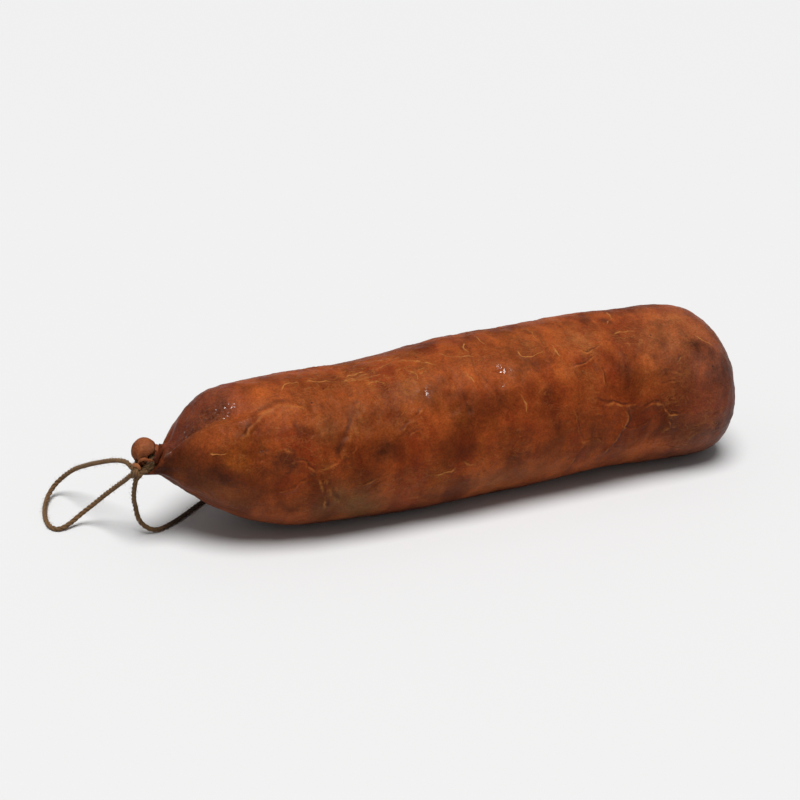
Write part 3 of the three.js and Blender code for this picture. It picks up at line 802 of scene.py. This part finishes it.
# Soft spots: what differs there, and a list of (x, degrees, mm along, mm round, strength).
SPOTS = {
    "stain": [
        (-78, -73, 8, 6, 1.0), (-81, -88, 8, 5, 0.35), (-119, -100, 5, 12, 1.0), (-120, -58, 4, 6, 0.7),
        (-100, -94, 8, 6, 0.8), (-73, -16, 9, 16, 0.45), (-84, -81, 9, 6, 0.5), (-38, -74, 6, 5.5, 0.8),
        (75, -5, 3.5, 4, 0.7), (92, -34, 4, 5, 0.6), (87, -46, 4, 4, 0.6), (89, -58, 4, 3, 0.5),
        (108, -40, 4, 5, 0.7), (113, -48, 7, 9, 0.6), (114, -106, 4, 5, 0.8), (67, 0, 4, 3, 0.6),
        (-41, -25, 5, 4, 0.35), (27, -34, 5, 6, 0.4), (54, -92, 2.2, 6, 0.6), (24, -98, 2.2, 6, 0.5),
        (90, -104, 8, 6, 0.4), (60, -34, 5, 4, 0.4), (-110, -22, 4, 2, 0.35), (-101, -19, 6, 2.5, 0.35),
        (-62, -24, 6, 4, 0.3), (-40, 20, 8, 6, 0.4), (10, 70, 9, 8, 0.5), (66, 82, 8, 9, 0.5),
        (-80, 84, 8, 8, 0.5), (98, 40, 6, 7, 0.5), (-20, 104, 8, 6, 0.4),
    ],
    "amber": [
        (-96, -75, 7, 6, 0.8), (-93, -82, 5, 4, 0.5), (-38, -21, 5, 2.5, 0.6), (-25, -48, 6, 4, 0.5),
        (57, -34, 3, 2.5, 0.7), (-84, -86, 5, 4, 0.3), (40, 2, 8, 5, 0.4), (-75, -45, 8, 4, 0.2),
        (62, -60, 5, 4, 0.3), (-60, -60, 6, 8, 0.35), (-76, 60, 9, 7, 0.5), (44, 68, 8, 7, 0.4),
    ],
    "pale": [
        (-57, -106, 5, 7, 0.9), (-50, -114, 8, 8, 1.0), (-46, -124, 9, 8, 1.0), (-62, -116, 5, 8, 0.6),
        (12, -118, 22, 6, 0.3), (-100, -114, 12, 8, 0.3), (92, -34, 14, 14, 0.3), (70, 110, 14, 8, 0.5),
        (-30, 118, 16, 8, 0.4),
    ],
    "crackled": [
        (-112, -18, 5, 5, 0.8), (-104, -20, 7, 5, 1.0), (-97, -20, 6, 6, 0.8), (-106, 2, 8, 6, 0.35),
        (-95, -6, 7, 6, 0.4), (18, -36, 2.4, 2.4, 1.0), (16, -45, 2.0, 1.8, 0.8), (-7, -57, 2.0, 1.2, 0.8),
        (0, -59, 1.6, 1.2, 0.8), (-34, -10, 8, 3, 0.45), (-16, -39, 2.0, 1.5, 0.7), (-86, -64, 2.2, 1.3, 0.8),
        (-87, -72, 1.4, 1.0, 0.6), (58, -46, 1.5, 1.5, 0.8),
    ],
    # painted highlight: lit facets of folds, and broad painted sheen on the upper front
    "facet_highlight": [
        (-42.5, -41, 1.5, 4, 0.4), (-45, -48, 1.8, 5, 0.6), (-48, -56, 1.8, 4.5, 0.6),
        (-80, -34, 7, 1.8, 0.4), (-71, -32, 6, 1.6, 0.3), (-24, -36, 12, 9, 0.45),
        (-30, -60, 9, 8, 0.35), (-60, -52, 9, 9, 0.5), (-45, -56, 6, 8, 0.4), (-8, -40, 10, 9, 0.35),
        (104, -12, 10, 6, 0.5), (112, -24, 8, 6, 0.4), (58, -22, 14, 12, 0.5), (56, -60, 10, 14, 0.3),
        (34, -16, 14, 12, 0.35), (10, -24, 14, 12, 0.3),
    ],
    "wrinkled": [
        (-34, -12, 14, 12, 1.0), (-22, 6, 14, 12, 0.7), (-16, -20, 8, 7, 0.8), (-57, -8, 14, 8, 0.6),
        (12, -20, 14, 10, 0.4), (52, -28, 12, 9, 0.6), (80, -27, 9, 8, 0.8), (92, -80, 12, 12, 0.4),
        (110, -96, 9, 12, 0.5), (-75, -60, 10, 8, 0.3), (-20, -100, 26, 6, 0.4), (30, 20, 30, 14, 0.35),
    ],
}

FAR = 30.0                        # mm: farther than any crease reaches
CREASE_REACH = 12.0               # mm: a crease leaves the casing alone beyond this
WANDER, WANDER_SIZE = 0.9, 5.0    # mm: how far creases stray from their paths, and over what length
LINE_HEIGHT, LINE_REACH = 0.35, 0.5
CRACKLE_DEPTH = 0.9


def wrap(degrees):
    return (degrees + 180) % 360 - 180


def nearest_on(x, degrees, radius, path):
    """Distance to a path with the casing unrolled, signed by side, and the share along it."""
    arc = np.radians(radius)
    gap, share = np.full(x.shape, FAR), np.zeros(x.shape)
    near = np.flatnonzero((x > path[:, 0].min() - CREASE_REACH) & (x < path[:, 0].max() + CREASE_REACH))
    px, pd, pr = x[near], degrees[near], arc[near]
    best, where = np.full(px.shape, FAR), np.zeros(px.shape)
    for i, ((x0, d0), (x1, d1)) in enumerate(zip(path, path[1:])):
        run_x, run_y = x1 - x0, (d1 - d0) * pr
        off_x, off_y = px - x0, wrap(pd - d0) * pr
        t = np.clip((off_x * run_x + off_y * run_y) / (run_x ** 2 + run_y ** 2), 0, 1)
        distance = np.hypot(off_x - t * run_x, off_y - t * run_y)
        side = np.where(off_y * run_x - off_x * run_y > 0, 1.0, -1.0)
        closer = distance < np.abs(best)
        best = np.where(closer, side * distance, best)
        where = np.where(closer, (i + t) / (len(path) - 1), where)
    gap[near], share[near] = best, where
    return gap, share


class Creases:
    """The nearest crease to every point: signed distance in half-widths, strength, and summed relief.

    `uneven` is a field near 1 that makes each crease rise and fade along its length, and
    `full` is the height in mm from which a crease's painted highlight and painted shadow are at full
    strength.
    """

    def __init__(self, x, degrees, radius, uneven, full):
        self.at = (x, degrees, radius)
        self.uneven, self.full = uneven, full
        self.distance = np.full(x.shape, FAR)
        self.gap = np.full(x.shape, FAR)
        self.size = np.zeros(x.shape)
        self.relief = np.zeros(x.shape)

    def add(self, height, reach, path):
        gap, share = nearest_on(*self.at, spline(path, 1.5))
        ends = smooth(6 * np.minimum(share, 1 - share))
        strength = ends * min(1.0, height / self.full) * self.uneven
        nearer = np.abs(gap) < self.distance
        self.distance = np.where(nearer, np.abs(gap), self.distance)
        self.gap = np.where(nearer, gap / reach, self.gap)
        self.size = np.where(nearer, strength * smooth((3.4 - np.abs(gap / reach)) / 1.4), self.size)
        base = 0.45 * bell(gap / (2.6 * reach))
        groove = 0.35 * bell((gap - 1.3 * reach) / (0.9 * reach))
        profile = 0.75 * bell(gap / reach) + base - groove
        self.relief += 0.6 * height * self.uneven * (0.25 + 0.75 * ends) * profile
        return self


def spot_field(x, degrees, radius, spots):
    field = np.zeros(x.shape)
    for spot_x, spot_turn, along, around, strength in spots:
        off_x = (x - spot_x) / along
        off_y = np.radians(radius) * wrap(degrees - spot_turn) / around
        field = np.maximum(field, strength * bell(np.hypot(off_x, off_y)))
    return field


def pleat_depth(along, degrees):
    total = np.zeros(along.shape)
    for turn, depth, length in PLEATS:
        reach = np.where(along < 0, np.exp(np.minimum(along, 0) / 4), bell(along / length))
        total += depth * reach * bell(wrap(degrees - turn) / PLEAT_WIDTH)
    return np.where(along < 0, total / 2, total * mix(0.5, 1.0, smooth(along / 9)))


def lumps(x, turn):
    """Uneven filling under the casing."""
    top_waves = 0.5 * np.cos(x / 11.5) * np.maximum(np.cos(turn), 0) * (1 - smooth((x + 10) / 40))
    oblique = 0.35 * np.sin(x / 19 + 2 * turn + 0.6) + 0.25 * np.sin(x / 9 - 3 * turn + 2)
    return top_waves + oblique + 0.2 * np.sin(x / 31 + 5 * turn + 4)


def roughened(points, size, seed):
    """Noise from about -1 to 1 at each point, with features of about this size."""
    shift = Vector((seed, -seed, 2 * seed))
    return np.array([noise.fractal(Vector(p) / size + shift, 0.6, 2.1, 3) for p in points])


def spaced(stretches):
    """Places along a line, from (end of the stretch, steps in it) pairs."""
    places = [stretches[0][0]]
    for end, steps in stretches[1:]:
        places.extend(np.linspace(places[-1], end, steps + 1)[1:])
    return np.array(places)


def pole_eased(start, end, steps):
    """Places that crowd towards the pole at `end`."""
    t = np.arange(1, steps + 1) / steps
    return start + (end - start) * np.sin(t * math.pi / 2)


def casing_grid():
    """Rings along the casing, and angles round it that are closer on the upper front."""
    length = CAP_X - NECK_X
    tip = pole_eased(-KNOB_MIDDLE, -KNOB_LENGTH, 16)[::-1]
    body = spaced([(-KNOB_MIDDLE, 0), (3, 26), (25, 42), (95, 118), (length - 26, 176)])
    cap = pole_eased(length - 26, length, 40)
    rings = np.concatenate([tip, body, cap])
    turns = spaced([(-150, 0), (20, 150), (210, 86)])[:-1]
    return rings[1:-1], np.radians(turns), rings[0], rings[-1]


def casing():
    rings, turns, tip, end = casing_grid()
    along, turn = (grid.ravel() for grid in np.meshgrid(rings, turns, indexing="ij"))
    x = NECK_X + along
    degrees = wrap(np.degrees(turn))
    on_body = along >= 0
    radius = np.where(on_body, body_section(np.maximum(x, NECK_X))[1], KNOB_RADIUS)
    smooth_points = smooth_casing(along, turn)
    normals = casing_normals(along, turn)

    bent_x = x + WANDER * roughened(smooth_points, WANDER_SIZE, 11)
    bent_degrees = degrees + np.degrees(WANDER * roughened(smooth_points, WANDER_SIZE, 13) / radius)
    uneven = np.clip(0.85 + 1.3 * roughened(smooth_points, 7.0, 17), 0.25, 1.3)
    folds = Creases(bent_x, bent_degrees, radius, uneven, full=0.8)
    for height, reach, path in FOLDS + BACK_FOLDS:
        folds.add(height, reach, path)
    lines = Creases(bent_x, bent_degrees, radius, uneven, full=0.35)
    for path in LINES:
        lines.add(LINE_HEIGHT, LINE_REACH, path)
    spots = {name: spot_field(x, degrees, radius, places) for name, places in SPOTS.items()}

    # The deep crease on the shoulder.
    gap, _ = nearest_on(x, degrees, radius, spline(LIP_PATH, 1.5))
    run = smooth((along - 1) / 8) * (1 - smooth((x + 100) / 22))
    lip = LIP_DEPTH * run * np.where(gap > 0, bell(gap / LIP_BACK), bell(gap / LIP_FRONT))

    fade = smooth((along - 4) / 30) * smooth((CAP_X - x) / 14)
    waves = roughened(smooth_points, 9, 1) * 0.35 + roughened(smooth_points, 3.6, 2) * 0.10
    crackle = np.abs(roughened(smooth_points, 2.6, 5)) * spots["crackled"] * CRACKLE_DEPTH
    relief = lumps(x, turn) * fade + waves * smooth(along / 12)
    relief += folds.relief + lines.relief - lip - crackle

    # The knob: pressed in over the twine, gathered at its root and hollow at its tip.
    dent = DENT_DEPTH * bell(degrees / DENT_WIDTH) * bell((-along - DENT_PLACE) / DENT_REACH)
    pleats = np.cos(GATHERS * turn + 1.5 * np.sin(2 * turn))
    gathers = GATHER_DEPTH * pleats * (1 - smooth((-along - 3) / 5.5))
    tip_turn = bell(wrap(degrees - HOLLOW_TURN) / HOLLOW_WIDTH)
    hollow = HOLLOW_DEPTH * tip_turn * bell((-along - HOLLOW_PLACE) / HOLLOW_REACH)
    knob_relief = 0.16 * roughened(smooth_points, 3.4, 7) + gathers - dent - hollow
    relief = np.where(on_body, relief, knob_relief) - pleat_depth(along, degrees)
    points = smooth_points + normals * relief[:, None]
    poles = smooth_casing(np.array([tip, end]), np.zeros(2))
    points = np.vstack([points, poles])
    points[:, 2] = np.maximum(points[:, 2], 0)

    piece = mesh_object("casing", points, tube_faces(len(rings), len(turns)), CASING)

    upper = np.minimum(smooth((degrees + 34) / 10), smooth((70 - degrees) / 40))
    # painted shade: the casing is painted darker and greyer round its underside
    below = smooth((np.abs(wrap(degrees + 8)) - 106) / 30)
    fields = dict(spots)
    fields.update({
        "fold_gap": folds.gap, "fold_size": folds.size, "line_gap": lines.gap, "line_size": lines.size,
        "lobe": 0.8 * upper * smooth((along - 2) / 6) * (1 - smooth((x + 96) / 16)),
        "neck": 0.7 * np.where(on_body, 1 - smooth((along - 2) / 36), 0),
        "ember": 0.55 * smooth(1 - np.abs(degrees + 82) / 34) * smooth((x + 90) / 40),
        "knob": 0.9 * (1 - on_body),
        "cap": smooth((x - 76) / 46) * mix(0.4, 0.95, smooth((-20 - degrees) / 50)),
        "under": 0.65 * below * on_body,
    })
    for name, values in fields.items():
        set_field(piece, name, np.append(values, [0.0, 0.0]))
    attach(piece, "root")
    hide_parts("sausage")
    return piece


# ---------------------------------------------------------------------------
# The tie, and the loose skin round it
# ---------------------------------------------------------------------------

def waist_axes():
    """Centre of the waist, and the directions out along the neck, up across it and sideways."""
    centre = body_section(np.array(NECK_X))[0]
    out = np.array([-math.cos(NECK_TILT), 0, math.sin(NECK_TILT)])
    up = np.array([math.sin(NECK_TILT), 0, math.cos(NECK_TILT)])
    return centre, out, up, np.array([0.0, 1.0, 0.0])


def coil(centre, axis, up, side, radius, turns, pitch, start):
    """A coil's centreline about an axis, its middle at the centre; `start` is in degrees."""
    t = np.linspace(0, 1, int(turns * 40))
    angle = math.radians(start) + 2 * math.pi * turns * t
    rise = (t - 0.5) * turns * pitch
    ring = np.cos(angle)[:, None] * up + np.sin(angle)[:, None] * side
    return centre + ring * radius + rise[:, None] * axis


def tie():
    """Turns of twine round the waist, and the knot below the knob."""
    centre, out, up, side = waist_axes()
    wraps = coil(centre, out, up, side, COIL_RADIUS, COIL_TURNS, COIL_PITCH, 150)
    to_loop = [(-125.6, -0.2, 33.2), (-127, 0.2, 32.4), (-128.3, 1.4, 32), (-129.3, 3.4, 32.1)]
    to_loop.append(LOOP_ROUTE[0])
    from_loop = [(-126.6, 3.4, 30.6), (-128, 2.4, 30.2), (-130, 2.4, 30.2), LOOP_ROUTE[-1]]
    to_tail = [(-126.9, 0.3, 32.2), (-128.2, 0.5, 31), (-129.1, 1.5, 29.4), TAIL_ROUTE[0]]
    strands = [spline(route, 0.4) for route in (to_loop, from_loop, to_tail)]
    run = unit(np.array([-0.93, 0.36, 0.08]))
    across = unit(np.cross(run, [0, 0, 1.0]))
    lift = np.cross(across, run)
    knot = coil(KNOT, run, lift, across, KNOT_RADIUS, KNOT_TURNS, KNOT_PITCH, 60)
    cord, _ = twine("tie_twine", [wraps, knot, *strands], 5)
    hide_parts("twine_tie")


def loose_skin(name, material, route, widths, thickness, inside, **fields):
    """A closed strip of skin along a route, its flat side facing away from a point inside.

    `widths` are half-widths along it, and `fields` are numbers that its material reads.
    """
    route = spline(route, 0.25)
    t = np.linspace(0, 1, len(route))
    ahead = unit(np.gradient(route, axis=0))
    across = unit(np.cross(route - np.asarray(inside), ahead))
    facing = np.cross(ahead, across)
    ends = np.sqrt(np.maximum(1 - (2 * t - 1) ** 6, 0.0))[:, None]
    ragged = 1 + 0.12 * np.sin(23 * t + 1)[:, None] + 0.08 * np.sin(51 * t)[:, None]
    half = np.interp(t, np.linspace(0, 1, len(widths)), widths)[:, None] * ends * ragged
    curl = 0.25 * np.sin(9 * t + 2)[:, None]
    rows = []
    for angle in np.linspace(0, 2 * math.pi, 24, endpoint=False):
        reach = math.cos(angle) * half
        sheet = math.sin(angle) * thickness * ends - curl * reach * reach
        rows.append(route + reach * across + sheet * facing)
    points = np.stack(rows, axis=1)[1:-1]
    faces = tube_faces(*points.shape[:2])
    piece = mesh_object(name, np.vstack([points.reshape(-1, 3), route[0], route[-1]]), faces, material)
    outward(piece.data)
    for field, value in fields.items():
        set_field(piece, field, np.full(len(piece.data.vertices), value))
    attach(piece, "root")


def loose_skins():
    """The gathered skin between the knob, the twine and the shoulder."""
    waist, _, _, _ = waist_axes()
    loose_skin("casing_strip", CASING, [
        (-128.6, 1.2, 36.0), (-127.7, 0.4, 37.5), (-126.3, -0.4, 38.1), (-124.6, -1.0, 37.5),
        (-122.7, -1.1, 37.0),
    ], [0.4, 0.6, 0.7, 0.6, 0.4], 0.4, waist, knob=0.9)
    loose_skin("casing_flap", CASING, [
        (-118.6, 3.5, 41.6), (-119.2, 1.4, 40.5), (-120.0, -0.1, 39.2), (-121.2, -0.9, 37.6),
        (-122.4, -1.3, 35.8),
    ], [0.7, 1.0, 1.5, 1.6, 1.0], 0.35, waist, neck=1.0)
    loose_skin("casing_scrap", TORN, [
        (-130.3, 3.7, 34.6), (-129.6, 2.1, 35.1), (-128.7, 0.8, 34.7), (-127.8, -0.1, 33.7),
    ], [0.4, 0.9, 1.1, 0.6], 0.3, waist)


casing()
tie()
loose_skins()


# ---------------------------------------------------------------------------
# Table and light
# ---------------------------------------------------------------------------

TABLE_SIZE = 8000
TABLE_GREY = colour(0.62, 0.62, 0.62)
SUN_ELEVATION, SUN_SPREAD, SUN_POWER = 78, 34, 3.8
SKY_STRENGTH = 0.25


def table():
    material, _, _ = new_material("pale_table", Roughness=0.8, Base_Color=TABLE_GREY)
    half = TABLE_SIZE / 2
    corners = [(-half, -half, 0), (half, -half, 0), (half, half, 0), (-half, half, 0)]
    mesh_object("table", corners, [(0, 1, 2, 3)], material)


def soft_sun(azimuth, elevation, spread, power):
    """One broad, even light from above and in front; the angles are in degrees."""
    data = bpy.data.lights.new("key_light", "SUN")
    data.angle, data.energy = math.radians(spread), power
    lamp = new_object("key_light", data)
    towards = direction(azimuth, elevation)
    lamp.location = towards
    lamp.rotation_mode = "QUATERNION"
    lamp.rotation_quaternion = (-towards).to_track_quat("-Z", "Y")


def studio():
    world = bpy.data.worlds.new("studio")
    world.use_nodes = True
    sky = world.node_tree.nodes["Background"]
    sky.inputs["Color"].default_value = colour(1.0, 1.0, 1.0)
    sky.inputs["Strength"].default_value = SKY_STRENGTH
    bpy.context.scene.world = world
    soft_sun(CAMERA_AZIMUTH, SUN_ELEVATION, SUN_SPREAD, SUN_POWER)
    bpy.context.scene.view_settings.view_transform = "Standard"


table()
studio()
